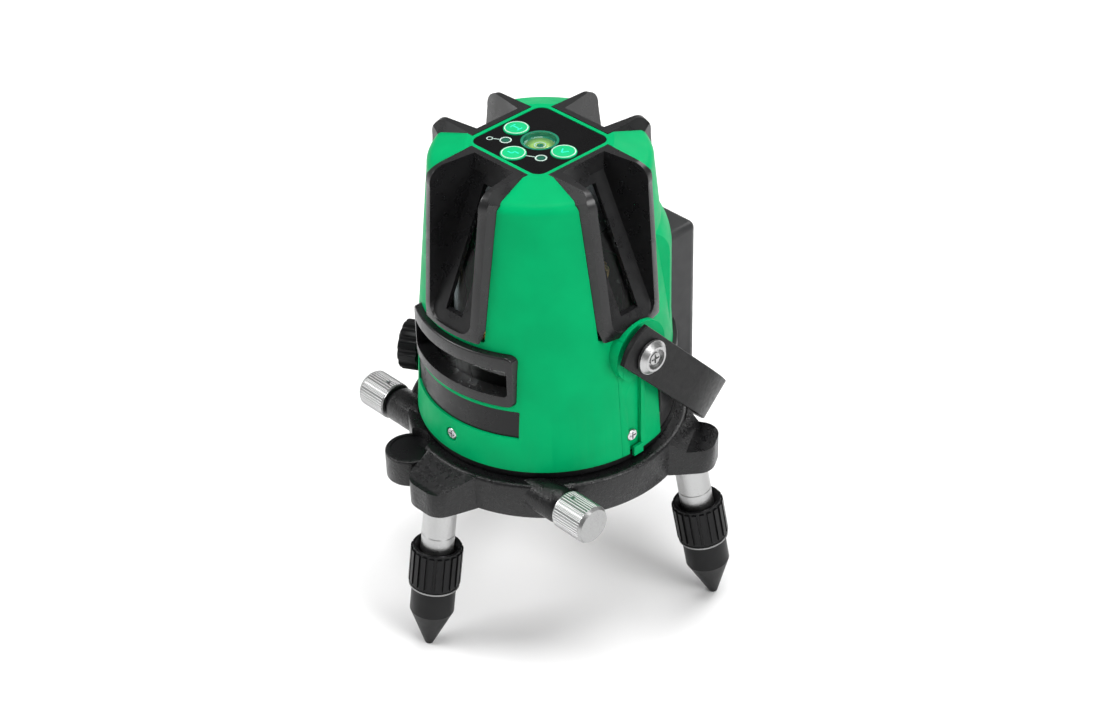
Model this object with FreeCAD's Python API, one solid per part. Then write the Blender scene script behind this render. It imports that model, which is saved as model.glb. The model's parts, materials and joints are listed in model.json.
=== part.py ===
"""Self-levelling cross-line laser instrument on its three-legged levelling base, in millimetres.

The frame: origin at the mouth of the tripod thread in the underside of the base, +Z up along the
vertical axis, -Y towards the horizontal window (the front), +X towards the observer's right.
The ground under the three feet is at GROUND_Z.
"""
import FreeCAD, Part
import math
import os

V = FreeCAD.Vector
ORIGIN = V(0, 0, 0)
X_AXIS = V(1, 0, 0)
Y_AXIS = V(0, 1, 0)
Z_AXIS = V(0, 0, 1)

# ---- driving dimensions -------------------------------------------------------------------------
GROUND_Z = -70.0
HOUSING_Z0 = 23.3            # lowest edge of the green housing
HOUSING_R0 = 55.0            # housing radius at its lowest edge
BREAK_Z, BREAK_R = 70.5, 52.1   # where the draft of the lower barrel becomes the upper taper
TAPER_Z, TAPER_R = 138.4, 45.3  # top of the taper
ROOF_Z, ROOF_R = 143.3, 41.6    # outer end of the sloping roof
TOP_Z, TOP_R = 147.0, 29.5      # flat top around the keypad
WALL = 2.4                   # housing wall
SEAM_Y = -9.3                # plane between the front and the rear shell
MOULD_GAP = 0.2              # gap drawn round parts let into the housing

HOOD_U0 = 21.9               # hood starts this far from the axis, beside the keypad
HOOD_BOTTOM = 81.3
HOOD_DEPTH = 2.2             # thickness of the slanted window frame
WINDOW_TOP_U, WINDOW_TOP_Z = 26.2, 136.3    # a point of the slanted window plane
WINDOW_SLOPE = 0.483         # how far the window plane leans out per mm of drop
WINDOW_HALF = 4.75           # half width of the slanted window opening

KEYPAD_HALF = 19.9
VIAL_R = 7.7
BUTTON_R = 5.3

PIVOT_Y, PIVOT_Z = 0.8, 71.7    # axis of the carrying handle
BAIL_X = 60.0                # outer face of the handle's arms
BAIL_THICK = 2.3
BAIL_WIDTH = 18.9
BAIL_STRAIGHT = 39.4         # straight part of each arm, from the pivot
BAIL_DROP = 46.6             # the stored handle points this many degrees below the horizontal

RING_R = 59.6                # base casting
RING_TOP = 19.5
RING_BOTTOM = 3.5
ARM_TOP = 14.5
ARM_BOTTOM = 3.0
ARM_KNEES = (57.5, 64.5, 74.4)     # distances from the axis where the arm's sides bend
BOSS_X, BOSS_Y, BOSS_R, BOSS_TOP = -21.5, -59.3, 10.6, 15.3
LEG_AZIMUTHS = {"front": -90.0, "right": 30.0, "left": 150.0}
ARM_SIDES = {                # half widths at the knees: clockwise side, other side
    "front": ((11.3, 9.8, 9.6), (16.9, 14.4, 10.6)),
    "right": ((16.9, 14.4, 10.6), (12.0, 8.1, 8.1)),
    "left": ((12.0, 8.1, 8.1), (16.9, 14.4, 10.6)),
}
ARM_SLOPE_END = {"front": 72.0, "right": 64.0, "left": 64.0}   # the sloping top ends here
LEG_TILT = 9.4               # legs splay outwards
TIP_RADIUS_ON_GROUND = 73.7  # distance of each foot's tip from the vertical axis

TANGENT_Y, TANGENT_Z = -40.3, 13.3   # axis of the fine-adjustment shaft
KNOB_IN, KNOB_OUT, KNOB_R = 52.6, 68.6, 8.2
WHEEL_TEETH = 72
WHEEL_PITCH_R = 36.0

LOCK_AZIMUTH, LOCK_Z = -150.0, 38.6
LOCK_R, LOCK_IN, LOCK_OUT = 10.8, 54.9, 63.2

GIMBAL_Z = 117.0             # centre of the compensator's gimbal
THREAD_R = 6.75              # 5/8"-11 tripod thread, minor radius


# ---- helpers ------------------------------------------------------------------------------------
def save(name, *shapes):
    """Write one node; several shapes stay separate solids of that node."""
    shape = shapes[0] if len(shapes) == 1 else Part.makeCompound(list(shapes))
    if shape.ShapeType == "Compound" and len(shape.Solids) == 1:
        shape = shape.Solids[0]
    shape.exportStep("parts/" + name + ".step")


def turned(shape, degrees):
    """A copy turned about the vertical axis."""
    copy = shape.copy()
    copy.rotate(ORIGIN, Z_AXIS, degrees)
    return copy


def box(x0, x1, y0, y1, z0, z1):
    return Part.makeBox(x1 - x0, y1 - y0, z1 - z0, V(x0, y0, z0))


def cylinder(radius, start, end):
    axis = end - start
    return Part.makeCylinder(radius, axis.Length, start, axis)


def cone(r_start, r_end, start, end):
    axis = end - start
    return Part.makeCone(r_start, r_end, axis.Length, start, axis)


def tube(r_out, r_in, start, end):
    return cylinder(r_out, start, end).cut(cylinder(r_in, start, end))


def beyond(point, normal):
    """A block that fills everything on the far side of a plane."""
    reach = 300.0
    block = Part.makeBox(2 * reach, 2 * reach, reach, V(-reach, -reach, 0))
    block.Placement = FreeCAD.Placement(point, FreeCAD.Rotation(Z_AXIS, normal))
    return block


def plane_normal(a, b, c, towards):
    """The unit normal of the plane through three points, on the side of 'towards'."""
    normal = (b - a).cross(c - a)
    normal.normalize()
    if normal.dot(towards) < 0:
        normal = normal * -1
    return normal


def polygon_prism(points, direction):
    """Extrude a closed polygon of vectors along a vector."""
    wire = Part.makePolygon(list(points) + [points[0]])
    return Part.Face(wire).extrude(direction)


def rounded_rectangle(half_x, half_y, radius, z0, z1):
    """A vertical prism with rounded corners, centred on the axis."""
    body = box(-half_x, half_x, -half_y, half_y, z0, z1)
    upright = [e for e in body.Edges if abs(e.tangentAt(e.FirstParameter).z) > 0.9]
    return body.makeFillet(radius, upright)


def softened(shape, radius, chosen):
    """Round the edges that the test picks, if the kernel can."""
    edges = [e for e in shape.Edges if chosen(e)]
    try:
        result = shape.makeFillet(radius, edges)
    except Exception:
        return shape
    return result if result.isValid() and result.Solids else shape


def revolve_rz(edges):
    """Turn a closed outline in the X-Z plane about the vertical axis."""
    return Part.Face(Part.Wire(edges)).revolve(ORIGIN, Z_AXIS, 360)


def line(a, b):
    return Part.LineSegment(a, b).toShape()


def arc(a, b, c):
    return Part.Arc(a, b, c).toShape()


def rz(radius, z):
    return V(radius, 0, z)


# ---- housing ------------------------------------------------------------------------------------
def housing_blank(grow, z0):
    """The housing's turned outer form, grown or shrunk along its walls."""
    low = rz(HOUSING_R0 + grow, z0)
    bend = rz(BREAK_R + grow, BREAK_Z)
    top_of_taper = rz(TAPER_R + grow, TAPER_Z)
    shoulder = rz(44.1 + 0.8 * grow, 141.8 + 0.6 * grow)
    roof = rz(ROOF_R + 0.3 * grow, ROOF_Z + grow)
    flat = rz(TOP_R, TOP_Z + grow)
    centre = rz(0, TOP_Z + grow)
    base = rz(0, z0)
    return revolve_rz([
        line(low, bend),
        line(bend, top_of_taper),
        arc(top_of_taper, shoulder, roof),
        line(roof, flat),
        line(flat, centre),
        line(centre, base),
        line(base, low),
    ])


def rear_block(grow, z0):
    """The straight-walled bulge that carries the battery box."""
    radius = 52.3 + grow
    low, top = rz(radius, z0), rz(radius, 100.0)
    bend, neck = rz(radius - 1.6, 107.5), rz(radius - 5.2, 113.5)
    inner_top, inner_low = rz(20, 113.5), rz(20, z0)
    ring = revolve_rz([
        line(low, top),
        arc(top, bend, neck),
        line(neck, inner_top),
        line(inner_top, inner_low),
        line(inner_low, low),
    ])
    return ring.common(box(-43 - grow, 43 + grow, 12, 80, z0, 120))


def hood_side_planes(side, gap):
    """Outer side walls of the front hood: the roof part and the part down the barrel."""
    near = V(16.1 * side, -22.0, 147.0)
    crest_top = V(17.5 * side, -44.9, 144.0)
    green_top = V(19.7 * side, -37.6, 141.0)
    crest_low = V(15.7 * side, -50.2, 86.0)
    outward = V(side, 0, 0)
    roof_normal = plane_normal(near, crest_top, green_top, outward)
    wall_normal = plane_normal(crest_top, crest_low, green_top, outward)
    return [
        beyond(near + roof_normal * gap, roof_normal),
        beyond(crest_top + wall_normal * gap, wall_normal),
    ]


def hood_blank(gap):
    """The solid form of the front hood, before its recess is cut."""
    crown, bend = rz(40.8, TOP_Z + 0.2), rz(46.4, 145.0)
    shoulder, low = rz(48.3, 139.0), rz(53.0, 88.0)
    foot, under = rz(53.3, 70.0), rz(10, 70.0)
    over = rz(10, TOP_Z + 0.2)
    form = revolve_rz([
        line(under, foot),
        line(foot, low),
        line(low, shoulder),
        arc(shoulder, bend, crown),
        line(crown, over),
        line(over, under),
    ])
    half, corner = 17.4 + gap, 3.0
    front = box(-half, half, -80, 0, HOOD_BOTTOM - gap, 115.0)
    bottom = [
        e for e in front.Edges
        if abs(e.tangentAt(e.FirstParameter).y) > 0.9 and e.BoundBox.ZMax < 90
    ]
    front = front.makeFillet(corner, bottom)
    flare = polygon_prism(
        [V(-half, 0, 110), V(half, 0, 110), V(30, 0, 150), V(-30, 0, 150)], V(0, -80, 0))
    form = form.common(front.fuse(flare))
    form = form.cut(beyond(V(0, -HOOD_U0 + gap, 0), Y_AXIS))
    for side in (-1, 1):
        for block in hood_side_planes(side, gap):
            form = form.cut(block)
    return form


def window_plane_point(depth):
    """A point of the slanted window plane, moved inwards, and the plane's outward normal."""
    normal = V(0, -1.0, WINDOW_SLOPE)
    normal.normalize()
    point = V(0, -WINDOW_TOP_U, WINDOW_TOP_Z) - normal * depth
    return point, normal


def hood_recess():
    """The hollow in front of the slanted window."""
    hollow = box(-20, 20, -80, -24.7, 83.4, 160)
    bottom = [
        e for e in hollow.Edges
        if abs(e.tangentAt(e.FirstParameter).y) > 0.9 and e.BoundBox.ZMax < 90
    ]
    for side in (-1, 1):
        back = V(11.3 * side, -25.4, 147.0)
        top = V(14.0 * side, -45.4, 143.7)
        low = V(11.9 * side, -52.0, 86.0)
        normal = plane_normal(back, top, low, V(side, 0, 0))
        hollow = hollow.cut(beyond(back, normal))
    hollow = softened(
        hollow, 6.0,
        lambda e: abs(e.tangentAt(e.FirstParameter).y) > 0.9 and e.BoundBox.ZMax < 90)
    point, normal = window_plane_point(0)
    return hollow.cut(beyond(point, normal * -1))


def make_hood():
    hood = hood_blank(0).cut(hood_recess())
    point, normal = window_plane_point(HOOD_DEPTH)
    hood = hood.cut(beyond(point, normal * -1))
    opening = box(-WINDOW_HALF, WINDOW_HALF, -80, 0, 88.3, 136.3)
    hood = hood.cut(opening)
    return hood.Solids[0]


def make_slanted_glass():
    """The glass behind the slanted window frame."""
    half, thick = 6.4, 1.4
    near, normal = window_plane_point(HOOD_DEPTH)
    far, normal = window_plane_point(HOOD_DEPTH + thick)
    glass = box(-half, half, -80, 0, 87.0, 137.5)
    return glass.cut(beyond(near, normal)).cut(beyond(far, normal * -1))


def sector(angle_from, angle_to, z0, z1, reach=90.0):
    """A wedge of space about the vertical axis, for angles less than 180 degrees apart."""
    middle = (angle_from + angle_to) / 2
    points = [V(0, 0, z0)]
    for angle in (angle_from, middle, angle_to):
        radians = math.radians(angle)
        points.append(V(reach * math.cos(radians), reach * math.sin(radians), z0))
    return polygon_prism(points, V(0, 0, z1 - z0))


def curved_window(half_angle, z0, z1, corner, r_in, r_out):
    """A round-cornered panel bent round the vertical axis at the front."""
    panel = tube(r_out, r_in, V(0, 0, z0), V(0, 0, z1))
    half = HOUSING_R0 * math.sin(math.radians(half_angle))
    cutter = box(-half, half, -80, -20, z0, z1)
    cutter = softened(cutter, corner, lambda e: abs(e.tangentAt(e.FirstParameter).y) > 0.9)
    return panel.common(cutter)


BEZEL_Z0, BEZEL_Z1, BEZEL_ANGLE = 54.0, 78.2, 32.0
OPENING_Z0, OPENING_Z1, OPENING_ANGLE = 59.2, 71.8, 29.6
LABEL_Z0, LABEL_Z1, LABEL_ANGLE = 38.9, 51.9, 33.6
SCREW_PLACES = {"front": (-90.0, 31.0), "right": (-3.5, 31.3), "left": (-176.5, 31.3)}
SCREW_HOLE_R, SCREW_HEAD_R = 3.1, 2.6


def radial(azimuth, radius, z):
    radians = math.radians(azimuth)
    return V(radius * math.cos(radians), radius * math.sin(radians), z)


def housing_openings():
    """Everything that is let into the housing from outside."""
    cuts = [turned(hood_blank(MOULD_GAP), quarter) for quarter in (0, 90, 180, 270)]
    cuts.append(rounded_rectangle(KEYPAD_HALF + 0.15, KEYPAD_HALF + 0.15, 4.6, 145.6, 150))
    cuts.append(curved_window(BEZEL_ANGLE + 0.2, BEZEL_Z0 - 0.2, BEZEL_Z1 + 0.2, 3.2, 40, 60))
    cuts.append(curved_window(LABEL_ANGLE, LABEL_Z0, LABEL_Z1, 0.6, 52.6, 60))
    for azimuth, z in SCREW_PLACES.values():
        cuts.append(cylinder(SCREW_HOLE_R, radial(azimuth, 52.9, z), radial(azimuth, 60, z)))
        cuts.append(cylinder(1.7, radial(azimuth, 48, z), radial(azimuth, 54, z)))
    cuts.append(cylinder(2.56, radial(LOCK_AZIMUTH, 40, LOCK_Z), radial(LOCK_AZIMUTH, 60, LOCK_Z)))
    for side in (-1, 1):
        cuts.append(cylinder(2.55, V(44 * side, PIVOT_Y, PIVOT_Z), V(60 * side, PIVOT_Y, PIVOT_Z)))
    return cuts


def make_shells():
    """The green housing, hollow and split into its front and rear shells."""
    outer = housing_blank(0, HOUSING_Z0).fuse(rear_block(0, HOUSING_Z0))
    inner = housing_blank(-WALL, HOUSING_Z0 - 1).fuse(rear_block(-WALL, HOUSING_Z0 - 1))
    shell = outer.cut(inner)
    for side in (-1, 1):
        pad = cylinder(13.5, V(46 * side, PIVOT_Y, PIVOT_Z), V(55.0 * side, PIVOT_Y, PIVOT_Z))
        shell = shell.fuse(pad.cut(inner))
        channel = box(-4, 4, -3.2, 3.2, HOUSING_Z0 - 1, 60)
        channel.translate(V(56.9 * side, PIVOT_Y - 3.1, 0))
        shell = shell.cut(channel)
        tab = box(-0.65, 0.65, -2.6, 2.6, 21.4, 25.8)
        tab.translate(V(54.75 * side, -1.0, 0))
        shell = shell.fuse(tab)
        rib = box(-1.0, 1.0, -1.1, 1.1, 26.5, 60)
        rib.translate(V(53.6 * side, PIVOT_Y + 1.4, 0))
        shell = shell.fuse(rib.cut(inner))
    for cut in housing_openings():
        shell = shell.cut(cut)
    shell = shell.cut(battery_case_blank(MOULD_GAP))
    front = shell.cut(box(-90, 90, SEAM_Y - 0.05, 90, 0, 200))
    rear = shell.cut(box(-90, 90, -90, SEAM_Y + 0.05, 0, 200))
    return biggest(front), biggest(rear)


def biggest(shape):
    """The largest solid of a shape, without crumbs left by the cuts."""
    return max(shape.Solids, key=lambda s: s.Volume)


# ---- battery box --------------------------------------------------------------------------------
CASE_HALF_X, CASE_BACK, CASE_TOP, CASE_LOW = 30.0, 60.0, 95.5, 27.0
SKIRT_ANGLE, SKIRT_STEP, SKIRT_TOP = 15.0, 33.0, 54.0


def battery_case_blank(grow):
    case = box(-CASE_HALF_X - grow, CASE_HALF_X + grow, 38.0 - grow, CASE_BACK, CASE_LOW, CASE_TOP + grow)
    case = softened(
        case, 4.0,
        lambda e: abs(e.tangentAt(e.FirstParameter).z) > 0.9 and e.BoundBox.YMin > 50)
    case = softened(
        case, 3.0,
        lambda e: e.BoundBox.ZMin > CASE_TOP - 1 and e.BoundBox.YMax > 45)
    skirt = tube(55.0 + grow, 52.4 - 2 * grow, V(0, 0, HOUSING_Z0 - 2 * grow), V(0, 0, SKIRT_TOP + grow))
    skirt = skirt.common(sector(SKIRT_ANGLE - grow, 180 - SKIRT_ANGLE + grow, 0, 100))
    return case.fuse(skirt)


def make_battery_case():
    """The black case at the back: a box for the cells and a skirt round the barrel."""
    case = battery_case_blank(0)
    case = case.cut(tube(58.0, 53.6, V(0, 0, HOUSING_Z0 - 1), V(0, 0, SKIRT_STEP)))
    cells = box(-CASE_HALF_X + 2, CASE_HALF_X - 2, 41.0, CASE_BACK - 4.0, 31.5, CASE_TOP - 2.5)
    case = case.cut(cells)
    mouth = box(-CASE_HALF_X + 4, CASE_HALF_X - 4, CASE_BACK - 5, CASE_BACK + 1, 33.0, CASE_TOP - 6)
    return biggest(case.cut(mouth))


def make_battery_lid():
    """The lid that closes the case from behind, with its finger catch."""
    lid = box(-CASE_HALF_X + 4.2, CASE_HALF_X - 4.2, CASE_BACK - 3.8, CASE_BACK, 33.2, CASE_TOP - 6.2)
    catch = box(-7, 7, CASE_BACK - 1.0, CASE_BACK + 1, CASE_TOP - 11.5, CASE_TOP - 8)
    return lid.cut(catch)


def make_cells():
    """Three AA cells, upright side by side."""
    cells = []
    for index in (-1, 0, 1):
        x = 17.0 * index
        body = cylinder(7.2, V(x, 48.5, 31.5), V(x, 48.5, 80.5))
        cells.append(body.fuse(cylinder(2.75, V(x, 48.5, 80.5), V(x, 48.5, 82.0))))
    return cells


# ---- top panel ----------------------------------------------------------------------------------
BUTTONS = {"left": (-13.6, 0.0), "front": (0.0, -14.4), "right": (13.6, 0.0)}
LED_PLACES = ((-10.0, -9.2), (10.3, -9.2))


def make_keypad():
    """The label panel that carries the vial, the buttons and the lamps."""
    panel = rounded_rectangle(KEYPAD_HALF, KEYPAD_HALF, 4.5, 145.6, 146.8)
    holes = [cylinder(VIAL_R + 0.02, V(0, 0, 140), V(0, 0, 150))]
    for x, y in BUTTONS.values():
        holes.append(cylinder(BUTTON_R + 0.1, V(x, y, 140), V(x, y, 150)))
    for x, y in LED_PLACES:
        holes.append(cylinder(1.62, V(x, y, 140), V(x, y, 150)))
    for hole in holes:
        panel = panel.cut(hole)
    return panel


def make_panel_seat():
    """Holes through the roof under the keypad for the vial, buttons and lamps."""
    holes = [cylinder(VIAL_R + 0.3, V(0, 0, 140), V(0, 0, 150))]
    for x, y in BUTTONS.values():
        holes.append(cylinder(BUTTON_R - 1.2, V(x, y, 140), V(x, y, 150)))
    for x, y in LED_PLACES:
        holes.append(cylinder(1.7, V(x, y, 140), V(x, y, 150)))
    return holes


def make_button(x, y):
    """A round key with a stem that goes through the roof."""
    cap = cylinder(BUTTON_R, V(x, y, 146.3), V(x, y, 147.4))
    cap = softened(cap, 0.4, lambda e: e.BoundBox.ZMin > 147.3)
    return cap.fuse(cylinder(BUTTON_R - 1.5, V(x, y, 142.6), V(x, y, 146.3)))


def make_vial():
    """The circular vial: a cup and its domed lens."""
    cup = cylinder(VIAL_R, V(0, 0, 138.5), V(0, 0, 146.9))
    cup = cup.cut(cylinder(VIAL_R - 1.0, V(0, 0, 140.0), V(0, 0, 150)))
    lens = cylinder(VIAL_R - 1.0, V(0, 0, 145.2), V(0, 0, 147.3))
    lens = softened(lens, 0.7, lambda e: e.BoundBox.ZMin > 147.2)
    return cup, lens


# ---- carrying handle ----------------------------------------------------------------------------
def make_bail():
    """Flat strap bent to a half circle between two straight arms, hanging behind the housing."""
    r_out, r_in = BAIL_X, BAIL_X - BAIL_THICK
    start, bend = V(-BAIL_X, -14.5, 0), V(-BAIL_X, BAIL_STRAIGHT, 0)
    outer = [
        line(start, bend),
        arc(bend, V(0, BAIL_STRAIGHT + r_out, 0), V(BAIL_X, BAIL_STRAIGHT, 0)),
        line(V(BAIL_X, BAIL_STRAIGHT, 0), V(BAIL_X, -14.5, 0)),
        line(V(BAIL_X, -14.5, 0), V(r_in, -14.5, 0)),
        line(V(r_in, -14.5, 0), V(r_in, BAIL_STRAIGHT, 0)),
        arc(V(r_in, BAIL_STRAIGHT, 0), V(0, BAIL_STRAIGHT + r_in, 0), V(-r_in, BAIL_STRAIGHT, 0)),
        line(V(-r_in, BAIL_STRAIGHT, 0), V(-r_in, -14.5, 0)),
        line(V(-r_in, -14.5, 0), start),
    ]
    strap = Part.Face(Part.Wire(outer)).extrude(V(0, 0, BAIL_WIDTH))
    strap.translate(V(0, 0, -BAIL_WIDTH / 2))
    end_round = cylinder(20.0, V(-70, 5.8, 0), V(70, 5.8, 0))
    strap = strap.common(end_round.fuse(box(-70, 70, 5.8, 120, -20, 20)))
    for side in (-1, 1):
        strap = strap.cut(cylinder(4.05, V(50 * side, 0, 0), V(70 * side, 0, 0)))
    strap = softened(strap, 0.5, lambda e: e.Length > 15)
    strap.rotate(ORIGIN, X_AXIS, -BAIL_DROP)
    strap.translate(V(0, PIVOT_Y, PIVOT_Z))
    return biggest(strap)


def make_pivot_screw(side):
    """Shoulder screw with a broad turned head, a ring groove and a cross recess."""
    def at(x):
        return V(x * side, PIVOT_Y, PIVOT_Z)
    shank = cylinder(2.5, at(46.5), at(56.2))
    shoulder = cylinder(4.0, at(56.2), at(60.4))
    head = cylinder(7.4, at(60.4), at(61.6)).fuse(cone(7.2, 5.4, at(61.6), at(63.6)))
    screw = shank.fuse(shoulder).fuse(head)
    screw = screw.cut(cylinder(2.6, at(62.9), at(65)))
    screw = screw.cut(tube(4.4, 2.6, at(61.7), at(65)))
    for width, height in ((4.2, 0.9), (0.9, 4.2)):
        slot = Part.makeBox(1.4, width, height, V(0, -width / 2, -height / 2))
        slot.translate(V(62.0 if side > 0 else -63.4, PIVOT_Y, PIVOT_Z))
        screw = screw.cut(slot)
    return screw


def make_pivot_washer(side):
    def at(x):
        return V(x * side, PIVOT_Y, PIVOT_Z)
    return tube(9.5, 4.05, at(55.1), at(57.4))


# ---- base ---------------------------------------------------------------------------------------
def leg_axis(azimuth):
    """The foot's tip on the ground and the unit vector up along the leg."""
    tilt = math.radians(LEG_TILT)
    tip = radial(azimuth, TIP_RADIUS_ON_GROUND, GROUND_Z)
    inward = radial(azimuth, -math.sin(tilt), math.cos(tilt))
    return tip, inward


def make_arm(name):
    """One leg arm along +X: it widens towards the ring and its top slopes up to the ring's."""
    low_side, high_side = ARM_SIDES[name]
    outline = [V(40, -21, ARM_BOTTOM)]
    for x, half in zip(ARM_KNEES, low_side):
        outline.append(V(x, -half, ARM_BOTTOM))
    for x, half in reversed(list(zip(ARM_KNEES, high_side))):
        outline.append(V(x, half, ARM_BOTTOM))
    outline.append(V(40, 21, ARM_BOTTOM))
    arm = polygon_prism(outline, V(0, 0, RING_TOP - 0.3 - ARM_BOTTOM))
    arm = softened(
        arm, 8.0,
        lambda e: abs(e.tangentAt(e.FirstParameter).z) > 0.9 and e.BoundBox.XMin > 70)
    end, root = ARM_SLOPE_END[name], ARM_KNEES[0]
    fall = RING_TOP - 0.3 - ARM_TOP
    above = polygon_prism(
        [V(root, -40, RING_TOP - 0.3), V(end, -40, ARM_TOP), V(90, -40, ARM_TOP),
         V(90, -40, ARM_TOP + 2 * fall), V(root, -40, ARM_TOP + 2 * fall)], V(0, 80, 0))
    return arm.cut(above)


def make_base_casting():
    """Ring with three leg arms, the housings of the fine-adjustment shaft and a round boss."""
    ring = cylinder(RING_R, V(0, 0, RING_BOTTOM), V(0, 0, RING_TOP))
    ring = softened(ring, 1.6, lambda e: e.BoundBox.ZMin > RING_TOP - 0.1)
    body = ring
    for name, azimuth in LEG_AZIMUTHS.items():
        body = body.fuse(turned(make_arm(name), azimuth))
    boss = cylinder(BOSS_R, V(BOSS_X, BOSS_Y, ARM_BOTTOM), V(BOSS_X, BOSS_Y, BOSS_TOP))
    boss = softened(boss, 1.0, lambda e: e.BoundBox.ZMin > BOSS_TOP - 0.1)
    body = body.fuse(boss)
    for side in (-1, 1):
        stub = cylinder(
            7.7, V(20 * side, TANGENT_Y, TANGENT_Z), V(49.5 * side, TANGENT_Y, TANGENT_Z))
        stub = stub.fuse(cone(
            7.7, 6.4, V(49.5 * side, TANGENT_Y, TANGENT_Z), V(52.0 * side, TANGENT_Y, TANGENT_Z)))
        body = body.fuse(stub)
    body = body.removeSplitter()
    body = body.cut(cylinder(55.5, V(0, 0, RING_TOP), V(0, 0, 40)))
    body = body.cut(cylinder(50.0, V(0, 0, -1), V(0, 0, RING_BOTTOM)))
    cavity = cylinder(50.5, V(0, 0, 6.5), V(0, 0, 30))
    hub = cylinder(16.0, V(0, 0, 6.0), V(0, 0, 14.0))
    body = body.cut(cavity.cut(hub))
    body = body.cut(cylinder(11.0, V(0, 0, -1), V(0, 0, 13.0)))
    body = body.cut(cylinder(BOSS_R - 2.0, V(BOSS_X, BOSS_Y, BOSS_TOP - 1.6), V(BOSS_X, BOSS_Y, 20)))
    body = body.cut(cylinder(5.0, V(-60, TANGENT_Y, TANGENT_Z), V(60, TANGENT_Y, TANGENT_Z)))
    for azimuth in LEG_AZIMUTHS.values():
        tip, up = leg_axis(azimuth)
        body = body.cut(cylinder(7.1, tip + up * 60, tip + up * 82))
        body = body.cut(cylinder(1.4, radial(azimuth + 60, 44, 0), radial(azimuth + 60, 44, 12)))
    return biggest(body)


def make_boss_cap():
    return cylinder(BOSS_R - 2.05, V(BOSS_X, BOSS_Y, BOSS_TOP - 1.6), V(BOSS_X, BOSS_Y, BOSS_TOP - 0.4))


def make_base_plate():
    """Cover under the casting; the thread insert passes through it."""
    plate = cylinder(50.0, V(0, 0, 0.8), V(0, 0, RING_BOTTOM))
    plate = plate.cut(cylinder(11.0, V(0, 0, -1), V(0, 0, 10)))
    for azimuth in LEG_AZIMUTHS.values():
        plate = plate.cut(cylinder(1.6, radial(azimuth + 60, 44, -2), radial(azimuth + 60, 44, 12)))
        plate = plate.cut(cylinder(2.9, radial(azimuth + 60, 44, -2), radial(azimuth + 60, 44, 2.0)))
    return plate


def make_plate_screws():
    screws = []
    for azimuth in LEG_AZIMUTHS.values():
        head = cylinder(2.7, radial(azimuth + 60, 44, 0.9), radial(azimuth + 60, 44, 2.0))
        screws.append(head.fuse(cylinder(1.4, radial(azimuth + 60, 44, 2.0), radial(azimuth + 60, 44, 9))))
    return screws


def make_thread_insert():
    """Brass insert with the standard tripod thread, flush with the underside."""
    insert = cylinder(11.0, V(0, 0, 0), V(0, 0, 13.0))
    return insert.cut(cylinder(THREAD_R, V(0, 0, -1), V(0, 0, 12.0)))


def make_leg(azimuth):
    """Fixed silver tube of one leg, with the narrow groove round it."""
    tip, up = leg_axis(azimuth)
    leg = cylinder(7.1, tip + up * 44, tip + up * 82)
    groove = tube(8.0, 6.85, tip + up * 55.8, tip + up * 56.2)
    return leg.cut(cylinder(4.06, tip + up * 40, tip + up * 74)).cut(groove)


def make_foot(azimuth):
    """Conical foot with the threaded stud that runs up into the leg."""
    tip, up = leg_axis(azimuth)
    point = cone(1.8, 9.5, tip, tip + up * 17.6)
    body = cylinder(9.5, tip + up * 17.6, tip + up * 30.4)
    stud = cylinder(4.0, tip + up * 30.4, tip + up * 60)
    return point.fuse(body).fuse(stud).removeSplitter()


def make_foot_washer(azimuth):
    tip, up = leg_axis(azimuth)
    return tube(10.8, 4.0, tip + up * 30.4, tip + up * 31.1)


def make_foot_collar(azimuth):
    """Ribbed adjusting collar round the bottom of the leg tube."""
    tip, up = leg_axis(azimuth)
    collar = cylinder(10.4, V(0, 0, 0), V(0, 0, 18.4))
    ribs = 20
    for index in range(ribs):
        angle = 360.0 * index / ribs
        rib = box(9.6, 11.1, -1.05, 1.05, 1.2, 17.2)
        collar = collar.fuse(turned(rib, angle))
    collar = collar.cut(cylinder(7.4, V(0, 0, 2.2), V(0, 0, 20)))
    collar = collar.cut(cylinder(4.05, V(0, 0, -1), V(0, 0, 5)))
    mouth = cone(7.4, 9.4, V(0, 0, 16.4), V(0, 0, 18.5))
    collar = collar.cut(mouth)
    collar.Placement = FreeCAD.Placement(tip + up * 31.3, FreeCAD.Rotation(Z_AXIS, up))
    return collar


# ---- fine adjustment ----------------------------------------------------------------------------
def make_tangent_shaft():
    """Cross shaft with the worm at its middle."""
    def at(x):
        return V(x, TANGENT_Y, TANGENT_Z)
    shaft = cylinder(2.5, at(-KNOB_OUT + 3), at(KNOB_OUT - 3))
    worm = cylinder(3.1, at(-9), at(9))
    lead = 2 * math.pi * WHEEL_PITCH_R / WHEEL_TEETH
    for index in range(-2, 3):
        thread = cylinder(4.3, at(index * lead - 0.55), at(index * lead + 0.55))
        worm = worm.fuse(thread)
    return shaft.fuse(worm)


def make_tangent_knob(side):
    """Straight-knurled knob with a plain chamfered end."""
    def at(x):
        return V(x * side, TANGENT_Y, TANGENT_Z)
    knob = cylinder(KNOB_R - 0.35, at(KNOB_IN), at(KNOB_OUT - 1.4))
    knob = knob.fuse(cone(KNOB_R - 0.1, KNOB_R - 1.0, at(KNOB_OUT - 1.4), at(KNOB_OUT)))
    teeth = 40
    for index in range(teeth):
        angle = 2 * math.pi * index / teeth
        ridge = cylinder(
            0.42, at(KNOB_IN + 0.6) + V(0, math.cos(angle), math.sin(angle)) * (KNOB_R - 0.42),
            at(KNOB_OUT - 1.4) + V(0, math.cos(angle), math.sin(angle)) * (KNOB_R - 0.42))
        knob = knob.fuse(ridge)
    knob = knob.cut(cylinder(2.5, at(KNOB_IN - 1), at(KNOB_OUT - 3)))
    return knob.cut(cylinder(1.25, at(KNOB_IN + 4.2), at(KNOB_IN + 4.2) + V(0, 0, 12)))


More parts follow.
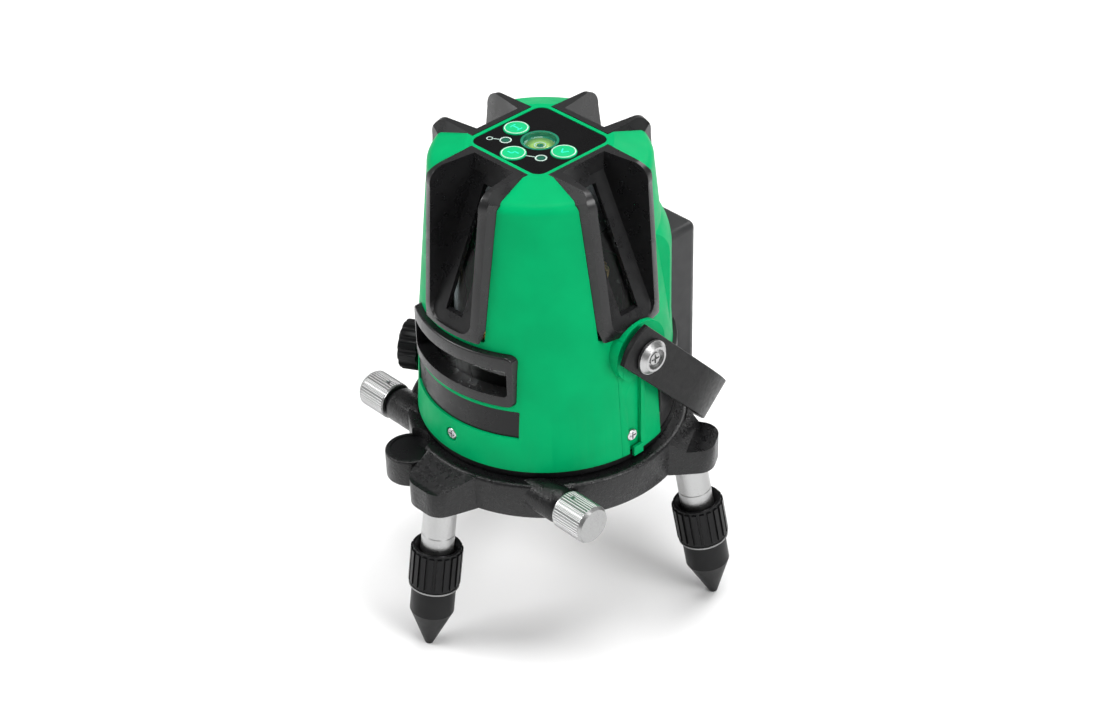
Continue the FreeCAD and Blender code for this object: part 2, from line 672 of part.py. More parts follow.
def make_set_screw(side):
    start = V((KNOB_IN + 4.2) * side, TANGENT_Y, TANGENT_Z + 2.6)
    screw = cylinder(1.25, start, start + V(0, 0, 5.2))
    return screw.cut(cylinder(0.6, start + V(0, 0, 3.6), start + V(0, 0, 6)))


def make_tangent_bush(side):
    def at(x):
        return V(x * side, TANGENT_Y, TANGENT_Z)
    return tube(5.0, 2.54, at(36.0), at(51.8))


def make_worm_wheel():
    """Toothed ring under the turntable, in mesh with the worm."""
    wheel = tube(WHEEL_PITCH_R - 1.2, 28.0, V(0, 0, TANGENT_Z - 2.5), V(0, 0, TANGENT_Z + 2.5))
    web = tube(33.0, 28.0, V(0, 0, TANGENT_Z + 2.5), V(0, 0, 20.1))
    wheel = wheel.fuse(web)
    pitch = 360.0 / WHEEL_TEETH
    blanks = []
    for index in range(WHEEL_TEETH):
        tooth = polygon_prism(
            [V(34.4, -0.85, TANGENT_Z - 2.5), V(35.9, -0.42, TANGENT_Z - 2.5),
             V(35.9, 0.42, TANGENT_Z - 2.5), V(34.4, 0.85, TANGENT_Z - 2.5)], V(0, 0, 5.0))
        blanks.append(turned(tooth, pitch * (index + 0.5)))
    wheel = wheel.multiFuse(blanks)
    return wheel.cut(worm_clearance())


def worm_clearance():
    """Room for the worm's core in the wheel's rim."""
    return cylinder(3.3, V(-60, TANGENT_Y, TANGENT_Z), V(60, TANGENT_Y, TANGENT_Z))


# ---- turntable and compensator ------------------------------------------------------------------
POST_R = 35.0
MAGNET_R, MAGNET_AZIMUTHS = 14.5, (30, 150, 270)


def make_spindle():
    """Vertical axis on which the housing turns, bolted to the base."""
    flange = cylinder(15.0, V(0, 0, 14.0), V(0, 0, 16.5))
    return flange.fuse(cylinder(6.0, V(0, 0, 16.5), V(0, 0, 33.0)))


def make_spindle_bush():
    return tube(9.0, 6.05, V(0, 0, 17.2), V(0, 0, 28.0))


def make_spindle_nut():
    nut = Part.makeCylinder(9.5, 3.0, V(0, 0, 28.6))
    hexagon = [V(9.5 * math.cos(math.radians(a)), 9.5 * math.sin(math.radians(a)), 28.6)
               for a in range(0, 360, 60)]
    nut = nut.common(polygon_prism(hexagon, V(0, 0, 3.0)))
    return nut.cut(cylinder(6.0, V(0, 0, 20), V(0, 0, 40)))


def make_turntable():
    """Disc that closes the housing from below and carries the chassis."""
    disc = cylinder(54.0, V(0, 0, 20.1), V(0, 0, 23.2))
    disc = disc.fuse(cylinder(12.0, V(0, 0, 23.2), V(0, 0, 26.5)))
    disc = disc.fuse(tube(52.2, 49.6, V(0, 0, 23.2), V(0, 0, 25.4)))
    for azimuth in MAGNET_AZIMUTHS:
        disc = disc.fuse(cylinder(4.0, radial(azimuth, MAGNET_R, 22), radial(azimuth, MAGNET_R, 36.0)))
    return disc.cut(cylinder(9.0, V(0, 0, 10), V(0, 0, 40)))


def make_chassis():
    """Four posts on the turntable and the ring they hold, where the gimbal's pins run."""
    low, high = GIMBAL_Z - 2.5, GIMBAL_Z + 2.5
    ring = tube(29.0, 25.6, V(0, 0, low), V(0, 0, high))
    for azimuth in (45, 135, 225, 315):
        lug = box(27, POST_R + 1, -4.0, 4.0, low, high)
        post = cylinder(3.2, V(POST_R, 0, 23.2), V(POST_R, 0, high))
        ring = ring.fuse(turned(lug, azimuth)).fuse(turned(post, azimuth))
    for side in (-1, 1):
        ring = ring.cut(cylinder(1.55, V(20 * side, 0, GIMBAL_Z), V(35 * side, 0, GIMBAL_Z)))
    return ring


def make_gimbal_ring():
    """Middle ring: pins along X run in the chassis, holes along Y take the pendulum's pins."""
    ring = tube(24.5, 20.0, V(0, 0, GIMBAL_Z - 2), V(0, 0, GIMBAL_Z + 2))
    for side in (-1, 1):
        ring = ring.fuse(cylinder(1.5, V(24.0 * side, 0, GIMBAL_Z), V(28.5 * side, 0, GIMBAL_Z)))
        ring = ring.cut(cylinder(1.55, V(0, 15 * side, GIMBAL_Z), V(0, 30 * side, GIMBAL_Z)))
    return ring


def make_pendulum():
    """Pendulum: hub in the gimbal, head block for the vertical modules, stem for the level one."""
    hub = cylinder(14.0, V(0, 0, GIMBAL_Z - 2), V(0, 0, GIMBAL_Z + 2))
    for side in (-1, 1):
        hub = hub.fuse(cylinder(1.5, V(0, 13.5 * side, GIMBAL_Z), V(0, 23.5 * side, GIMBAL_Z)))
    stem = cylinder(8.0, V(0, 0, 50.0), V(0, 0, GIMBAL_Z))
    head = rounded_rectangle(14.0, 14.0, 2.0, 90.0, 107.0)
    waist = rounded_rectangle(11.0, 11.0, 2.0, 57.0, 74.0)
    body = hub.fuse(stem).fuse(head).fuse(waist)
    for azimuth in (0, 90, 180, 270):
        body = body.cut(turned(cylinder(5.5, V(9.0, 0, 98.5), V(30, 0, 98.5)), azimuth))
    return body.cut(cylinder(5.5, V(0, 0, 65.5), V(0, -30, 65.5)))


def make_laser_module(start, end):
    """Brass barrel with a smaller lens cell at its end."""
    axis = end - start
    axis.normalize()
    barrel = cylinder(5.5, start, end)
    cell = cylinder(4.2, end, end + axis * 2.5)
    bore = cylinder(2.6, end - axis * 4, end + axis * 3)
    return barrel.fuse(cell).cut(bore)


def make_module_lens(end, axis):
    """Cylinder lens in the mouth of a laser module."""
    return cylinder(2.6, end + axis * 0.3, end + axis * 2.1)


def module_ends():
    ends = [(radial(azimuth, 31.0, 98.5), radial(azimuth, 1, 0)) for azimuth in (-90, 0, 90, 180)]
    ends.append((V(0, -33.0, 65.5), V(0, -1, 0)))
    return ends


def make_laser_modules():
    modules = []
    for end, axis in module_ends():
        length = 22.0 if end.z > 90 else 27.0
        modules.append(make_laser_module(end - axis * length, end))
    return modules


# ---- lock knob ----------------------------------------------------------------------------------
def make_lock_knob():
    """Fluted knob on the side of the barrel; it clamps the pendulum for transport."""
    knob = cylinder(LOCK_R, V(LOCK_IN, 0, LOCK_Z), V(LOCK_OUT, 0, LOCK_Z))
    knob = softened(knob, 1.0, lambda e: e.BoundBox.XMin > LOCK_OUT - 0.1)
    flutes = 12
    for index in range(flutes):
        angle = 2 * math.pi * (index + 0.5) / flutes
        offset = V(0, math.cos(angle), math.sin(angle)) * (LOCK_R + 0.5)
        groove = cylinder(1.9, V(LOCK_IN - 1, 0, LOCK_Z) + offset, V(LOCK_OUT + 1, 0, LOCK_Z) + offset)
        knob = knob.cut(groove)
    return turned(knob, LOCK_AZIMUTH)


def make_lock_shaft():
    """Shaft of the lock knob with the flat blade that turns under the pendulum."""
    shaft = cylinder(2.5, V(20.0, 0, LOCK_Z), V(LOCK_IN, 0, LOCK_Z))
    blade = box(13.0, 21.0, -5.0, 5.0, LOCK_Z - 1.2, LOCK_Z + 1.2)
    return turned(shaft.fuse(blade), LOCK_AZIMUTH)


# ---- small parts of the housing -----------------------------------------------------------------
def make_housing_screw(azimuth, z):
    """Pan-head cross screw, drawn pointing along +X and then turned."""
    head = cylinder(SCREW_HEAD_R, V(53.0, 0, z), V(54.3, 0, z))
    head = softened(head, 0.7, lambda e: e.BoundBox.XMin > 54.2)
    screw = head.fuse(cylinder(1.6, V(47.0, 0, z), V(53.0, 0, z)))
    screw = screw.cut(box(53.5, 56, -1.7, 1.7, z - 0.35, z + 0.35))
    screw = screw.cut(box(53.5, 56, -0.35, 0.35, z - 1.7, z + 1.7))
    return turned(screw, azimuth)


def make_bezel():
    """Frame of the horizontal window, standing a little proud of the barrel."""
    bezel = curved_window(BEZEL_ANGLE, BEZEL_Z0, BEZEL_Z1, 3.0, 47.5, 54.4)
    bezel = softened(bezel, 0.9, lambda e: outer_rim_edge(e, 54.4))
    opening = curved_window(OPENING_ANGLE, OPENING_Z0, OPENING_Z1, 1.6, 40, 60)
    return biggest(bezel.cut(opening))


def outer_rim_edge(edge, radius):
    """True for an edge that lies wholly on a cylinder about the vertical axis."""
    for vertex in edge.Vertexes:
        if abs(math.hypot(vertex.X, vertex.Y) - radius) > 0.05:
            return False
    return True


def make_curved_glass():
    return curved_window(BEZEL_ANGLE - 0.8, BEZEL_Z0 + 1.6, BEZEL_Z1 - 1.6, 1.5, 46.0, 47.4)


def make_name_plate():
    return curved_window(LABEL_ANGLE - 0.2, LABEL_Z0 + 0.15, LABEL_Z1 - 0.15, 0.6, 52.6, 53.15)


def make_board():
    board = box(-22.0, 22.0, 36.0, 37.6, 40.0, 78.0)
    for x in (-18, 18):
        for z in (44, 74):
            board = board.cut(cylinder(1.4, V(x, 30, z), V(x, 40, z)))
    chips = [box(x - w / 2, x + w / 2, 34.4, 36.0, z - h / 2, z + h / 2)
             for x, z, w, h in ((-8, 60, 9, 9), (9, 62, 6, 10), (2, 48, 12, 5))]
    for chip in chips:
        board = board.fuse(chip)
    return board


# ---- write every node ---------------------------------------------------------------------------
def main():
    os.makedirs("parts", exist_ok=True)
    front, rear = make_shells()
    for hole in make_panel_seat():
        front = front.cut(hole)
        rear = rear.cut(hole)
    save("front_shell", biggest(front))
    save("rear_shell", biggest(rear))

    hood = make_hood()
    glass = make_slanted_glass()
    below_rear_window = box(-30, 30, 20, 80, 0, CASE_TOP + 0.3)
    for name, quarter in (("front", 0), ("right", 90), ("left", 270)):
        save("hood_" + name, turned(hood, quarter))
    save("hood_rear", turned(hood, 180).cut(below_rear_window))
    panes = [turned(glass, quarter) for quarter in (0, 90, 270)]
    panes.append(turned(glass, 180).cut(below_rear_window))
    save("window_panes", *panes)
    save("horizontal_window_bezel", make_bezel())
    save("horizontal_window_glass", make_curved_glass())
    save("name_plate", make_name_plate())
    save("housing_screws", *[make_housing_screw(a, z) for a, z in SCREW_PLACES.values()])

    save("keypad_panel", make_keypad())
    for name, (x, y) in BUTTONS.items():
        save("button_" + name, make_button(x, y))
    save("indicator_lamps", *[cylinder(1.6, V(x, y, 143.0), V(x, y, 146.8)) for x, y in LED_PLACES])
    for name, piece in zip(("vial_cup", "vial_lens"), make_vial()):
        save(name, piece)

    save("battery_case", make_battery_case())
    save("battery_lid", make_battery_lid())
    save("battery_cells", *make_cells())
    save("control_board", make_board())

    save("carrying_handle", make_bail())
    save("handle_pivot_screws", make_pivot_screw(1), make_pivot_screw(-1))
    save("handle_pivot_washers", make_pivot_washer(1), make_pivot_washer(-1))

    save("lock_knob", make_lock_knob())
    save("lock_shaft", make_lock_shaft())

    save("turntable", make_turntable())
    save("worm_wheel", make_worm_wheel())
    save("spindle_bush", make_spindle_bush())
    save("compensator_chassis", make_chassis())
    save("gimbal_ring", make_gimbal_ring())
    save("pendulum", make_pendulum())
    save("laser_modules", *make_laser_modules())
    save("laser_lenses", *[make_module_lens(end, axis) for end, axis in module_ends()])
    save("damping_disc", cylinder(12.0, V(0, 0, 46.5), V(0, 0, 50.0)))
    save("damping_magnets", *[
        cylinder(4.0, radial(a, MAGNET_R, 36.0), radial(a, MAGNET_R, 43.0)) for a in MAGNET_AZIMUTHS])

    save("base_casting", make_base_casting())
    save("base_plate", make_base_plate())
    save("base_plate_screws", *make_plate_screws())
    save("tripod_thread_insert", make_thread_insert())
    save("boss_cap", make_boss_cap())
    save("spindle", make_spindle())
    save("spindle_nut", make_spindle_nut())
    save("tangent_bushes", make_tangent_bush(1), make_tangent_bush(-1))
    save("tangent_shaft", make_tangent_shaft())
    save("tangent_knob_right", make_tangent_knob(1))
    save("tangent_knob_left", make_tangent_knob(-1))
    save("knob_set_screws", make_set_screw(1), make_set_screw(-1))

    save("leg_tubes", *[make_leg(azimuth) for azimuth in LEG_AZIMUTHS.values()])
    for name, azimuth in LEG_AZIMUTHS.items():
        save("foot_" + name, make_foot(azimuth))
        save("foot_washer_" + name, make_foot_washer(azimuth))
        save("foot_collar_" + name, make_foot_collar(azimuth))


main()
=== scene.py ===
"""Looks of the line laser on its levelling base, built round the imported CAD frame."""
import json
import math

import bmesh
import bpy
from mathutils import Matrix, Vector


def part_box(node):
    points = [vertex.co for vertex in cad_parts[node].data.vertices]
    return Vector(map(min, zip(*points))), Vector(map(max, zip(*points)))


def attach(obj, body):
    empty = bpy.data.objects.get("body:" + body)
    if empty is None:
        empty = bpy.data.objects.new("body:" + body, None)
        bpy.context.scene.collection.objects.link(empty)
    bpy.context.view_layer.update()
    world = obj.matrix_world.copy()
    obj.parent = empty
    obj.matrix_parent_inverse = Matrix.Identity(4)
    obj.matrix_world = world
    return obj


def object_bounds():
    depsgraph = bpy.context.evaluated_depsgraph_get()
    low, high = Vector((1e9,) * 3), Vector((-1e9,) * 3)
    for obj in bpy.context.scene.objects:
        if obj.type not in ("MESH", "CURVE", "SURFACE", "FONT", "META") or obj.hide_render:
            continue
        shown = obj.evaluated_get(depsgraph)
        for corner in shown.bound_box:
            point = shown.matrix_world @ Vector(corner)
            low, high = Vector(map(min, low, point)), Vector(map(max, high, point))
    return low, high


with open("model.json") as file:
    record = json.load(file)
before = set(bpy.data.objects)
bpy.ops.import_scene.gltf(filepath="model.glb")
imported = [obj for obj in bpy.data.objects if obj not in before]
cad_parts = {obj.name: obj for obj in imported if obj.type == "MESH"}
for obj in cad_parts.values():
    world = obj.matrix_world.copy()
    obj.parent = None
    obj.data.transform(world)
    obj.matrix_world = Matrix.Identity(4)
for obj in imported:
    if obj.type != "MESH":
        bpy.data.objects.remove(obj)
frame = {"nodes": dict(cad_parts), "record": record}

CAD_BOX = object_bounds()
MM = 0.001
NODES = frame["nodes"]

# ---- materials ----------------------------------------------------------------------------------


class Shader:
    """A Principled material with a short way to add nodes. Lengths are in millimetres."""

    def __init__(self, name):
        self.material = bpy.data.materials.new(name)
        self.material.use_nodes = True
        self.tree = self.material.node_tree
        self.surface = self.tree.nodes["Principled BSDF"]
        self.coords = self.tree.nodes.new("ShaderNodeTexCoord").outputs["Object"]

    def set(self, **values):
        for key, value in values.items():
            self.surface.inputs[key.replace("_", " ")].default_value = value
        return self

    def stretched(self, scale):
        mapping = self.tree.nodes.new("ShaderNodeMapping")
        mapping.inputs["Scale"].default_value = scale
        self.tree.links.new(self.coords, mapping.inputs["Vector"])
        return mapping.outputs["Vector"]

    def noise(self, size, detail=3.0, vector=None):
        node = self.tree.nodes.new("ShaderNodeTexNoise")
        node.inputs["Scale"].default_value = 1 / (size * MM)
        node.inputs["Detail"].default_value = detail
        self.tree.links.new(vector or self.coords, node.inputs["Vector"])
        return node.outputs["Fac"]

    def ramp(self, factor, low, high, at=(0.35, 0.65)):
        node = self.tree.nodes.new("ShaderNodeValToRGB")
        for element, value, place in zip(node.color_ramp.elements, (low, high), at):
            element.color = value
            element.position = place
        self.tree.links.new(factor, node.inputs["Fac"])
        return node.outputs["Color"]

    def colour(self, factor, low, high):
        mixed = self.ramp(factor, rgba(low), rgba(high))
        self.tree.links.new(mixed, self.surface.inputs["Base Color"])
        return self

    def roughness(self, factor, low, high):
        grey = self.ramp(factor, (low, low, low, 1), (high, high, high, 1))
        self.tree.links.new(grey, self.surface.inputs["Roughness"])
        return self

    def bump(self, factor, height):
        """Each further bump is laid over the ones before it."""
        node = self.tree.nodes.new("ShaderNodeBump")
        node.inputs["Distance"].default_value = height * MM
        self.tree.links.new(factor, node.inputs["Height"])
        normal = self.surface.inputs["Normal"]
        if normal.is_linked:
            self.tree.links.new(normal.links[0].from_socket, node.inputs["Normal"])
        self.tree.links.new(node.outputs["Normal"], normal)
        return self


def rgba(colour):
    return (*colour, 1.0)


def shade(colour, factor):
    return tuple(min(1.0, channel * factor) for channel in colour)


def moulded(name, colour, rough=0.42, grain=0.35, height=0.012, shine=0.35):
    """Spark-eroded moulded plastic: a fine even grain and faint variation of the colour."""
    s = Shader(name).set(Specular_IOR_Level=shine)
    s.colour(s.noise(22.0), shade(colour, 0.94), shade(colour, 1.06))
    s.roughness(s.noise(6.0), rough - 0.05, rough + 0.05)
    s.bump(s.noise(grain, 2.0), height)
    return s.material


def hammered(name, colour):
    """Wrinkle paint over a rough sand casting."""
    s = Shader(name).set(Specular_IOR_Level=0.36)
    s.colour(s.noise(9.0), shade(colour, 0.8), shade(colour, 1.2))
    s.roughness(s.noise(3.0), 0.24, 0.36)
    s.bump(s.noise(2.2, 2.0), 0.2)
    s.bump(s.noise(0.5, 2.0), 0.16)
    return s.material


def powder_coat(name, colour):
    s = Shader(name).set(Specular_IOR_Level=0.16)
    s.colour(s.noise(5.0), shade(colour, 0.8), shade(colour, 1.15))
    s.roughness(s.noise(2.0), 0.34, 0.46)
    s.bump(s.noise(0.5, 2.0), 0.1)
    return s.material


def machined(name, colour, rough=0.2, along=(1, 1, 1)):
    """Turned or brushed metal: fine streaks stretched across the cut."""
    s = Shader(name).set(Metallic=1.0)
    streaks = s.noise(0.5, 4.0, s.stretched(along))
    s.colour(streaks, shade(colour, 0.92), shade(colour, 1.05))
    s.roughness(streaks, rough - 0.06, rough + 0.08)
    s.bump(streaks, 0.01)
    return s.material


def clear(name, colour, rough=0.02, ior=1.5):
    s = Shader(name).set(Transmission_Weight=1.0, IOR=ior)
    s.colour(s.noise(12.0), shade(colour, 0.97), colour)
    s.roughness(s.noise(4.0), rough, rough + 0.03)
    return s.material


def lens(name, colour, cover):
    """Moulded acrylic, mostly see-through, that lets light down to what lies under it."""
    s = Shader(name).set(Alpha=cover, Coat_Weight=1.0, Coat_Roughness=0.03)
    s.colour(s.noise(9.0), shade(colour, 0.95), colour)
    s.roughness(s.noise(4.0), 0.05, 0.09)
    return s.material


def glossy(name, colour, rough=0.16):
    s = Shader(name).set(Coat_Weight=0.35, Coat_Roughness=0.08)
    s.colour(s.noise(14.0), shade(colour, 0.94), shade(colour, 1.06))
    s.roughness(s.noise(4.0), rough - 0.03, rough + 0.04)
    s.bump(s.noise(1.2, 2.0), 0.004)
    return s.material


GREEN = (0.0, 0.335, 0.112)
BLACK = (0.005, 0.005, 0.0055)
MATERIALS = {
    "green_shell": moulded("Green_housing", GREEN, 0.42, 0.4, 0.010, 0.04),
    "black_moulding": moulded("Black_moulding", BLACK, 0.34, 0.35, 0.014, 0.18),
    "hood_grey": moulded("Black_hood", (0.009, 0.009, 0.0095), 0.30, 0.35, 0.014, 0.4),
    "battery_grey": moulded("Battery_box", (0.018, 0.018, 0.019), 0.44, 0.4, 0.02),
    "cast_black": hammered("Cast_base", (0.004, 0.004, 0.0044)),
    "coat_black": powder_coat("Handle_coat", (0.006, 0.006, 0.0063)),
    "foot_rubber": moulded("Foot_rubber", (0.006, 0.006, 0.0064), 0.42, 0.5, 0.02, 0.2),
    "bright_steel": machined("Bright_metal", (0.44, 0.44, 0.44), 0.30, (1, 1, 12)),
    # Knob steel: its own steel colour, made darker than the other steel as painted shade of the
    # knurl grooves.
    "knurled_steel": machined("Knurled_metal_groove_shade", (0.37, 0.37, 0.37), 0.32, (8, 1, 1)),
    "ring_steel": machined("Thrust_ring", (0.28, 0.28, 0.28), 0.4),
    "brushed_steel": machined("Steel", (0.60, 0.60, 0.61), 0.30, (1, 1, 8)),
    "brass": machined("Brass", (0.72, 0.52, 0.22), 0.28),
    "anodised": machined("Anodised", (0.42, 0.42, 0.44), 0.36),
    "copper_disc": machined("Copper", (0.74, 0.38, 0.22), 0.25),
    "clear_glass": clear("Window_glass", (0.80, 0.86, 0.85)),
    "board_green": glossy("Circuit_board", (0.01, 0.10, 0.04)),
    "key_green": moulded("Key_green", (0.0, 0.44, 0.16), 0.35, 0.3, 0.004, 0.3),
    "key_print": glossy("Key_print", (0.50, 0.66, 0.58), 0.35),
    "key_icon": moulded("Key_icon", (0.03, 0.80, 0.55), 0.4, 0.3, 0.004, 0.3),
    "vial_body": glossy("Vial_body", (0.0, 0.17, 0.09), 0.2),
    "keypad_film": moulded("Keypad_film", (0.003, 0.003, 0.0033), 0.3, 0.3, 0.006, 0.09),
    "label": moulded("Panel_film", (0.004, 0.004, 0.0045), 0.3, 0.3, 0.006, 0.25),
    "lamp": glossy("Lamp", (0.0, 0.10, 0.055), 0.2),
    "vial_liquid": glossy("Vial_liquid", (0.42, 0.62, 0.12), 0.12),
    "vial_lens": lens("Vial_lens", (0.05, 0.40, 0.22), 0.10),
    "cell_wrap": glossy("Cell_wrap", (0.03, 0.03, 0.08)),
}
NODE_TO_MATERIAL = {
    "vial_cup": "vial_body",
    "carrying_handle": "coat_black",
    "turntable": "black_moulding",
    "vial_lens": "vial_lens",
    "keypad_panel": "keypad_film",
    "horizontal_window_bezel": "hood_grey",
    # The knobs take the steel darkened with painted shade of the knurl grooves.
    "tangent_knob_right": "knurled_steel",
    "tangent_knob_left": "knurled_steel",
    "foot_washer_front": "ring_steel",
    "foot_washer_right": "ring_steel",
    "foot_washer_left": "ring_steel",
}

# ---- the CAD nodes: materials, and rounded edges ------------------------------------------------

EDGE_WIDTHS = {     # millimetres
    "hood_front": 0.7,
    "hood_right": 0.7,
    "hood_rear": 0.7,
    "hood_left": 0.7,
    "base_casting": 0.5,
    "battery_case": 0.5,
    "front_shell": 0.25,
    "rear_shell": 0.25,
    "horizontal_window_bezel": 0.4,
    "lock_knob": 0.4,
}
WELD_DISTANCE = 0.002     # millimetres
FLAT_ANGLE = 0.4     # degrees between faces that count as one plane
EDGE_ANGLE = 28.0     # degrees from which an edge is rounded
EDGE_SEGMENTS = 3


def dress_nodes():
    for part in frame["record"]["subparts"]:
        slot = part["material_slot"]
        name = part["node"]
        material = MATERIALS[NODE_TO_MATERIAL.get(name, slot)]
        node = NODES[name]
        for place in node.material_slots:
            place.link = "OBJECT"
            place.material = material


def round_edges(name, width):
    """Soft moulded edges on a CAD node, added as modifiers over its own mesh."""
    node = NODES[name]
    weld = node.modifiers.new("Weld", "WELD")
    weld.merge_threshold = WELD_DISTANCE * MM
    flat = node.modifiers.new("Planar", "DECIMATE")
    flat.decimate_type = "DISSOLVE"
    flat.angle_limit = math.radians(FLAT_ANGLE)
    bevel = node.modifiers.new("Bevel", "BEVEL")
    bevel.width = width * MM
    bevel.segments = EDGE_SEGMENTS
    bevel.limit_method = "ANGLE"
    bevel.angle_limit = math.radians(EDGE_ANGLE)
    bevel.harden_normals = True


# ---- small pieces drawn over the frame ----------------------------------------------------------


def piece(name, bm, material, body, smooth=True):
    mesh = bpy.data.meshes.new(name)
    bm.to_mesh(mesh)
    bm.free()
    for face in mesh.polygons:
        face.use_smooth = smooth
    obj = bpy.data.objects.new(name, mesh)
    bpy.context.scene.collection.objects.link(obj)
    mesh.materials.append(MATERIALS[material])
    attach(obj, body)
    return obj


def revolve(profile, centre, turns=64):
    """A closed ring of (radius, height) points, turned about a vertical line. Millimetres."""
    bm = bmesh.new()
    rings = []
    for index in range(turns):
        angle = 2 * math.pi * index / turns
        ring = [bm.verts.new(Vector((
            centre[0] + r * math.cos(angle), centre[1] + r * math.sin(angle), z)) * MM)
            for r, z in profile]
        rings.append(ring)
    count = len(profile)
    for index in range(turns):
        a, b = rings[index], rings[(index + 1) % turns]
        for k in range(count):
            bm.faces.new((a[k], b[k], b[(k + 1) % count], a[(k + 1) % count]))
    bmesh.ops.recalc_face_normals(bm, faces=bm.faces)
    return bm


def print_ring(name, centre, radii, z, body="housing"):
    r_in, r_out = radii
    profile = [(r_in, z), (r_out, z), (r_out, z + PRINT), (r_in, z + PRINT)]
    return piece(name, revolve(profile, centre), "key_print", body)


def centre_of(name):
    low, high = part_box(name)
    return (low + high) / 2 / MM, high.z / MM


def shifted(place, offset):
    return (place[0] + offset[0], place[1] + offset[1])


def strip(bm, start, end, z, width):
    """Adds a thin printed line to a mesh. Millimetres."""
    a, b = Vector(start), Vector(end)
    side = (b - a).normalized().orthogonal() * width / 2
    corners = [a - side, b - side, b + side, a + side]
    low = [bm.verts.new(Vector((c.x, c.y, z)) * MM) for c in corners]
    high = [bm.verts.new(Vector((c.x, c.y, z + PRINT)) * MM) for c in corners]
    bm.faces.new(reversed(low))
    bm.faces.new(high)
    for k in range(4):
        bm.faces.new((low[k], low[(k + 1) % 4], high[(k + 1) % 4], high[k]))


# Millimetres, seen from above; rings are an inner and an outer radius.
PRINT = 0.06     # how thick the print is
KEY_PRINT_SUNK = 0.045     # print on the keys is pressed this far into them
MARK_WIDTH = 0.5
LINE_WIDTH = 0.4
LAMPS = ((-10.0, -9.2), (10.3, -9.2))
SIGN = (-15.6, -12.6)
BUTTON_RING = (4.42, 4.9)
LAMP_RING = (1.85, 2.45)
SIGN_RING = (0.95, 1.35)
SIGN_LINE = ((1.3, 0.8), (-1.9, -1.2))     # its ends, from the sign and from the left lamp
KEY_LINE = ((4.4, 2.2), (-2.0, -1.0))     # its ends, from the front key and from the right lamp
ICONS = {
    "left": (((-2.0, 0.0), (2.0, 0.0)), ((-2.0, -1.4), (-2.0, 1.4)), ((2.0, -1.4), (2.0, 1.4))),
    "front": (((-2.2, -0.9), (0.0, -0.9)), ((0.0, -0.9), (0.0, 0.9)), ((0.0, 0.9), (2.2, 0.9))),
    "right": (((-1.6, 1.2), (0.0, -1.4)), ((0.0, -1.4), (1.6, 1.2))),
}


def add_keypad_print():
    """Rings round the keys and lamps, plain marks on the keys, and the lines between them."""
    panel_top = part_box("keypad_panel")[1].z / MM
    for key, lines in ICONS.items():
        centre, top = centre_of("button_" + key)
        low = top - KEY_PRINT_SUNK
        print_ring("Button_ring_" + key, centre, BUTTON_RING, low, "key_" + key)
        bm = bmesh.new()
        for start, end in lines:
            strip(bm, shifted(centre, start), shifted(centre, end), low, MARK_WIDTH)
        piece("Button_mark_" + key, bm, "key_icon", "key_" + key, smooth=False)
    for index, place in enumerate(LAMPS):
        print_ring("Lamp_ring_%d" % index, place, LAMP_RING, panel_top)
    print_ring("Sign_ring", SIGN, SIGN_RING, panel_top)
    bm = bmesh.new()
    front = centre_of("button_front")[0]
    for start, end, line in ((SIGN, LAMPS[0], SIGN_LINE), (front, LAMPS[1], KEY_LINE)):
        strip(bm, shifted(start, line[0]), shifted(end, line[1]), panel_top, LINE_WIDTH)
    piece("Keypad_lines", bm, "key_print", "housing", smooth=False)


VIAL_DEPTH = 4.0
VIAL_AXIS = 0.01     # a profile stops this far short of the axis
VIAL_RING = (2.0, 2.5)
VIAL_RING_DEPTH = 0.5     # under the lens
BUBBLE_SHIFT = 0.1
BUBBLE_TURNS = 32


def add_vial():
    """Green dish under the lens, its yellow-green liquid, the bubble and the ring round it."""
    low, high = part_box("vial_cup")
    centre = ((low.x + high.x) / 2 / MM, (low.y + high.y) / 2 / MM)
    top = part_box("vial_lens")[0].z / MM
    floor = top - VIAL_DEPTH
    dish = [(VIAL_AXIS, floor), (3.6, floor), (5.2, floor + 1.2), (6.6, floor + 3.7),
            (6.5, floor + 3.7), (5.1, floor + 1.4), (3.5, floor + 0.3), (VIAL_AXIS, floor + 0.3)]
    piece("Vial_dish", revolve(dish, centre), "vial_body", "housing")
    pool = [(VIAL_AXIS, floor + 0.35), (3.4, floor + 0.35), (5.0, floor + 1.5), (6.0, top - 0.7),
            (VIAL_AXIS, top - 0.7)]
    piece("Vial_pool", revolve(pool, centre), "vial_liquid", "housing")
    print_ring("Vial_ring", centre, VIAL_RING, top - VIAL_RING_DEPTH)
    bubble = [(VIAL_AXIS, top - 0.9), (1.1, top - 0.8), (1.45, top - 0.6), (1.1, top - 0.5),
              (VIAL_AXIS, top - 0.45)]
    turned = revolve(bubble, shifted(centre, (BUBBLE_SHIFT, BUBBLE_SHIFT)), BUBBLE_TURNS)
    piece("Vial_bubble", turned, "lamp", "housing")


# ---- stage --------------------------------------------------------------------------------------

# Metres, degrees, and millimetres for the lens and its sensor.
CAMERA = {"distance": 1.0, "azimuth": 47.21, "elevation": 35.12, "roll": -1.72, "yaw": 0.086,
          "lens": 77.76, "sensor": 36}
AIM_HEIGHT = 0.0406     # where the photograph's camera points on the part's axis
STUDIO = 3.5     # how far away the lights stand, with their size and power grown to match
LIGHT_AIM = Vector((0, 0, 0.05))
LIGHTS = {     # place, size and power, before STUDIO
    "Key": ((-0.75, -0.75, 0.9), 0.6, 11),
    "Side": ((0.95, 0.1, 0.55), 0.5, 7.5),
    "Top": ((0.1, 0.1, 1.2), 0.7, 10),
    "Back": ((-0.2, 0.95, 0.7), 0.6, 5),
}
FLOOR_SIZE = 40
FLOOR_GREYS = ((0.86, 0.86, 0.86), (0.90, 0.90, 0.90))
FLOOR_GRAIN = 300.0     # millimetres
FLOOR_ROUGHNESS = 0.8
WORLD_STRENGTH = 0.28


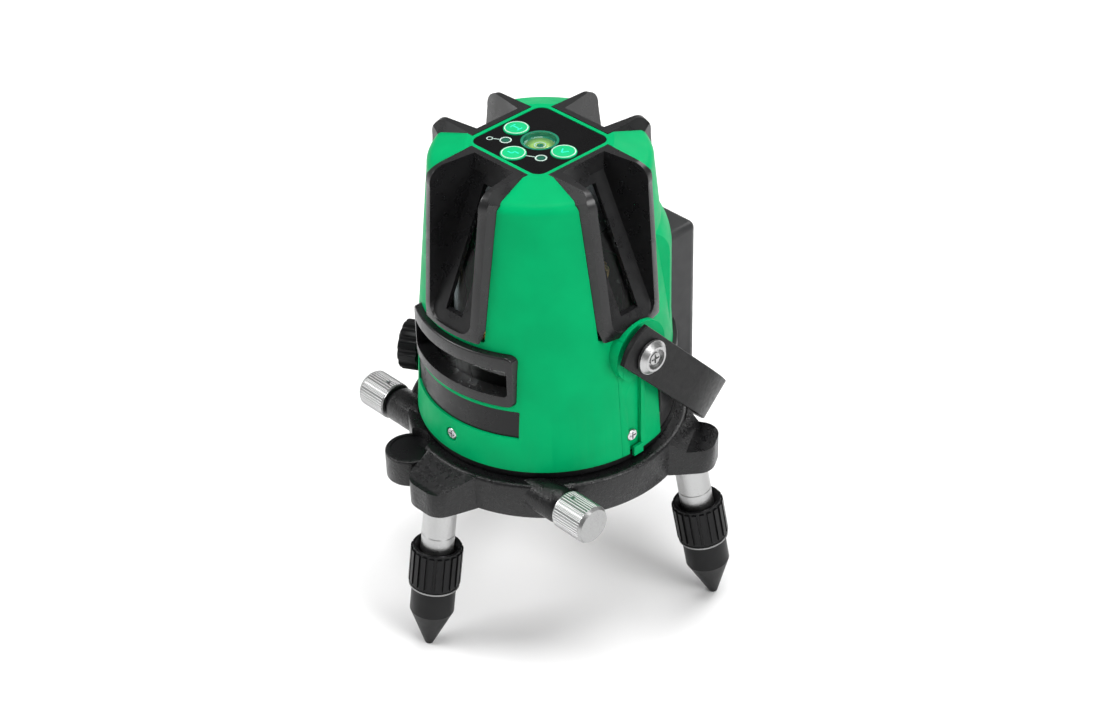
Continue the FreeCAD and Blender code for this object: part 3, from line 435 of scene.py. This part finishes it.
def add_camera():
    azimuth, elevation = math.radians(CAMERA["azimuth"]), math.radians(CAMERA["elevation"])
    roll, yaw = math.radians(CAMERA["roll"]), math.radians(CAMERA["yaw"])
    back = Vector((math.sin(azimuth) * math.cos(elevation),
                   -math.cos(azimuth) * math.cos(elevation),
                   math.sin(elevation)))
    right = Vector((math.cos(azimuth), math.sin(azimuth), 0))
    up = back.cross(right)
    forward = -back * math.cos(yaw) + right * math.sin(yaw)
    turned = right * math.cos(yaw) + back * math.sin(yaw)
    across = turned * math.cos(roll) + up * math.sin(roll)
    upward = up * math.cos(roll) - turned * math.sin(roll)
    camera = bpy.data.objects.new("Camera", bpy.data.cameras.new("Camera"))
    camera.data.sensor_width = CAMERA["sensor"]
    camera.data.lens = CAMERA["lens"]
    place = Matrix((across, upward, -forward)).transposed().to_4x4()
    place.translation = Vector((0, 0, AIM_HEIGHT)) + back * CAMERA["distance"]
    camera.matrix_world = place
    bpy.context.scene.collection.objects.link(camera)
    bpy.context.scene.camera = camera


def add_light(name, place, size, power):
    place = Vector(place) * STUDIO
    light = bpy.data.objects.new(name, bpy.data.lights.new(name, "AREA"))
    light.data.size = size * STUDIO
    light.data.energy = power * STUDIO ** 2
    light.location = place
    light.rotation_euler = (LIGHT_AIM - place).to_track_quat("-Z", "Y").to_euler()
    bpy.context.scene.collection.objects.link(light)


def add_stage():
    floor_z = CAD_BOX[0].z
    bpy.ops.mesh.primitive_plane_add(size=FLOOR_SIZE, location=(0, 0, floor_z))
    floor = bpy.context.object
    floor.name = "Floor"
    s = Shader("Floor")
    s.colour(s.noise(FLOOR_GRAIN), *FLOOR_GREYS).set(Roughness=FLOOR_ROUGHNESS)
    floor.data.materials.append(s.material)
    world = bpy.data.worlds.new("Studio")
    world.use_nodes = True
    background = world.node_tree.nodes["Background"]
    background.inputs["Color"].default_value = (1, 1, 1, 1)
    background.inputs["Strength"].default_value = WORLD_STRENGTH
    bpy.context.scene.world = world
    bpy.context.scene.view_settings.view_transform = "Standard"
    for name, light in LIGHTS.items():
        add_light(name, *light)


# ---- build --------------------------------------------------------------------------------------
dress_nodes()
for node_name, edge_width in EDGE_WIDTHS.items():
    round_edges(node_name, edge_width)
add_keypad_print()
add_vial()
add_stage()
add_camera()
